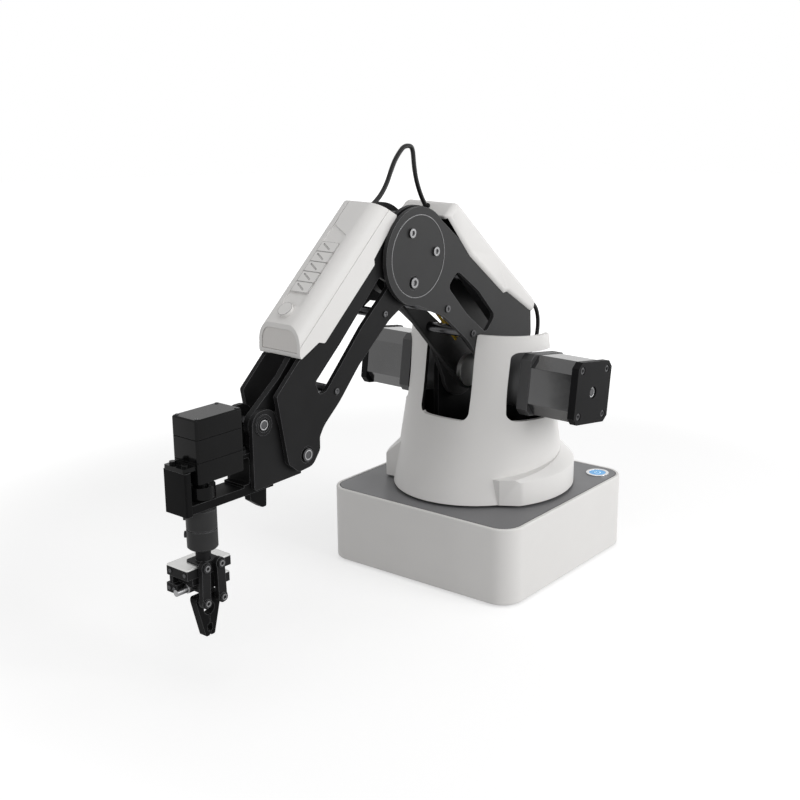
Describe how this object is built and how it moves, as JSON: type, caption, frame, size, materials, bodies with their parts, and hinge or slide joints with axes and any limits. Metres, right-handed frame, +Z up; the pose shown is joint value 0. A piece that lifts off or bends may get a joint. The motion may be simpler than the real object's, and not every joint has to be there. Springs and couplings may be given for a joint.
{
  "type": "robot arm",
  "caption": "Desktop robot arm on a square base: turning column, parallel-linked rear arm and forearm, level wrist with turning tool and air gripper.",
  "frame": {"origin": "on the column's turning axis, at the surface that the feet stand on", "axes": "+X the base's front, +Y the side of the shoulder motor, +Z up"},
  "size_m": [0.3649, 0.1898, 0.3023],
  "materials": {
    "white_plastic": "satin",
    "panel_plastic": "satin",
    "grey_plate": "satin",
    "black_metal": "satin black anodised",
    "motor_cap": "satin",
    "motor_stack": "laminated",
    "servo_plastic": "satin",
    "steel": "bright",
    "bright_metal": "polished",
    "light_metal": "brushed",
    "belt_rubber": "matt",
    "foot_rubber": "matt",
    "port_plastic": "matt",
    "board": "lacquered",
    "button_lens": "lit lens",
    "wire_yellow": "insulation",
    "cable_black": "satin"
  },
  "bodies": {
    "base": {"base_shell": "white_plastic", "base_top_plate": "grey_plate", "base_floor_plate": "steel", "base_feet": "foot_rubber", "rear_port_panel": "port_plastic", "control_board": "board", "base_motor": "motor_stack", "turntable_ring": "black_metal", "power_button_bezel": "bright_metal"},
    "power_button": {"power_button": "button_lens"},
    "turret": {"turntable_hub": "black_metal", "turret_shell": "white_plastic", "shoulder_brackets": "black_metal", "rod_anchor": "black_metal", "shoulder_motor_stack": "motor_stack", "shoulder_motor_caps": "motor_cap", "shoulder_gearbox": "black_metal", "elbow_motor_stack": "motor_stack", "elbow_motor_caps": "motor_cap", "elbow_gearbox": "black_metal", "motor_screws": "steel", "shoulder_cable": "cable_black"},
    "rear_arm": {"rear_plate_near": "black_metal", "rear_plate_far": "black_metal", "rear_cover": "white_plastic", "rear_spacers": "steel", "shoulder_shaft": "steel", "arm_wires": "wire_yellow", "drive_belt": "belt_rubber", "elbow_cable_rear": "cable_black"},
    "rear_rod": {"rear_link_rod": "black_metal"},
    "drive_pulley": {"drive_pulley": "light_metal"},
    "elbow": {"elbow_axle": "steel", "elbow_discs": "black_metal", "elbow_link": "black_metal", "elbow_screws": "steel"},
    "forearm": {"forearm_plate_near": "black_metal", "forearm_plate_far": "black_metal", "forearm_cover": "white_plastic", "forearm_end_panel": "panel_plastic", "socket_flaps": "panel_plastic", "forearm_spacers": "steel", "elbow_pulley": "light_metal", "elbow_cable_front": "cable_black"},
    "unlock_button": {"unlock_button": "panel_plastic"},
    "forearm_rod": {"forearm_link_rod": "black_metal"},
    "wrist": {"wrist_plates": "black_metal", "wrist_pins": "steel", "servo_bracket": "black_metal", "servo_case": "servo_plastic"},
    "tool": {"servo_horn": "servo_plastic", "tool_coupling": "black_metal", "gripper_body": "black_metal", "air_cylinder": "black_metal", "cylinder_cover": "light_metal", "air_fitting": "bright_metal"},
    "grip_link_front": {"grip_link_front": "black_metal"},
    "finger_front": {"finger_front": "black_metal"},
    "grip_link_rear": {"grip_link_rear": "black_metal"},
    "finger_rear": {"finger_rear": "black_metal"}
  },
  "joints": [
    {"name": "base_turn", "type": "hinge", "parent": "base", "child": "turret", "pos_m": [0, 0, 0.06], "axis": [0, 0, 1], "range_deg": [-88, 92]},
    {"name": "power_press", "type": "slide", "parent": "base", "child": "power_button", "axis": [0, 0, -1], "range_m": [0, 0.001], "stiffness_N_per_m": 800},
    {"name": "rear_arm_swing", "type": "hinge", "parent": "turret", "child": "rear_arm", "pos_m": [0, 0, 0.1366], "axis": [-0.0314, -0.9995, 0], "range_deg": [-25.9, 29.1], "deforming": ["elbow_cable_rear", "shoulder_cable"]},
    {"name": "rear_rod_swing", "type": "hinge", "parent": "turret", "child": "rear_rod", "pos_m": [-0.0106, 0.00033, 0.14649], "axis": [-0.0314, -0.9995, 0], "range_deg": [-25.9, 29.1]},
    {"name": "drive_pulley_turn", "type": "hinge", "parent": "turret", "child": "drive_pulley", "pos_m": [0, 0, 0.1366], "axis": [-0.0314, -0.9995, 0], "range_deg": [-13.2, 46.7]},
    {"name": "elbow_level", "type": "hinge", "parent": "rear_arm", "child": "elbow", "pos_m": [0.0939, -0.00295, 0.23355], "axis": [-0.0314, -0.9995, 0], "range_deg": [-29.1, 25.9]},
    {"name": "forearm_swing", "type": "hinge", "parent": "elbow", "child": "forearm", "pos_m": [0.0939, -0.00295, 0.23355], "axis": [-0.0314, -0.9995, 0], "range_deg": [-13.2, 46.7], "deforming": ["elbow_cable_front"]},
    {"name": "forearm_rod_swing", "type": "hinge", "parent": "elbow", "child": "forearm_rod", "pos_m": [0.12519, -0.00393, 0.25865], "axis": [-0.0314, -0.9995, 0], "range_deg": [-13.2, 46.7]},
    {"name": "unlock_press", "type": "slide", "parent": "forearm", "child": "unlock_button", "axis": [-0.6672, 0.021, -0.7445], "range_m": [0, 0.0008], "stiffness_N_per_m": 500},
    {"name": "wrist_level", "type": "hinge", "parent": "forearm", "child": "wrist", "pos_m": [0.19457, -0.00611, 0.12648], "axis": [-0.0314, -0.9995, 0], "range_deg": [-46.7, 13.2]},
    {"name": "tool_turn", "type": "hinge", "parent": "wrist", "child": "tool", "pos_m": [0.26587, -0.00835, 0.1], "axis": [0, 0, 1], "range_deg": [-90, 90]},
    {"name": "gripper_open", "type": "hinge", "parent": "tool", "child": "grip_link_front", "pos_m": [0.27137, -0.00853, 0.0765], "axis": [-0.0314, -0.9995, 0], "range_deg": [0, 28]},
    {"name": "grip_finger_front", "type": "hinge", "parent": "grip_link_front", "child": "finger_front", "pos_m": [0.27207, -0.00855, 0.0552], "axis": [-0.0314, -0.9995, 0], "range_deg": [-28, 0]},
    {"name": "grip_link_rear_swing", "type": "hinge", "parent": "tool", "child": "grip_link_rear", "pos_m": [0.26037, -0.00818, 0.0765], "axis": [-0.0314, -0.9995, 0], "range_deg": [-28, 0]},
    {"name": "grip_finger_rear", "type": "hinge", "parent": "grip_link_rear", "child": "finger_rear", "pos_m": [0.25967, -0.00816, 0.0552], "axis": [-0.0314, -0.9995, 0], "range_deg": [0, 28]}
  ],
  "couplings": [
    {"joint": "rear_rod_swing", "follows": "rear_arm_swing", "ratio": 1},
    {"joint": "elbow_level", "follows": "rear_arm_swing", "ratio": -1},
    {"joint": "drive_pulley_turn", "follows": "forearm_swing", "ratio": 1},
    {"joint": "forearm_rod_swing", "follows": "forearm_swing", "ratio": 1},
    {"joint": "wrist_level", "follows": "forearm_swing", "ratio": -1},
    {"joint": "grip_finger_front", "follows": "gripper_open", "ratio": -1},
    {"joint": "grip_link_rear_swing", "follows": "gripper_open", "ratio": -1},
    {"joint": "grip_finger_rear", "follows": "gripper_open", "ratio": 1}
  ]
}
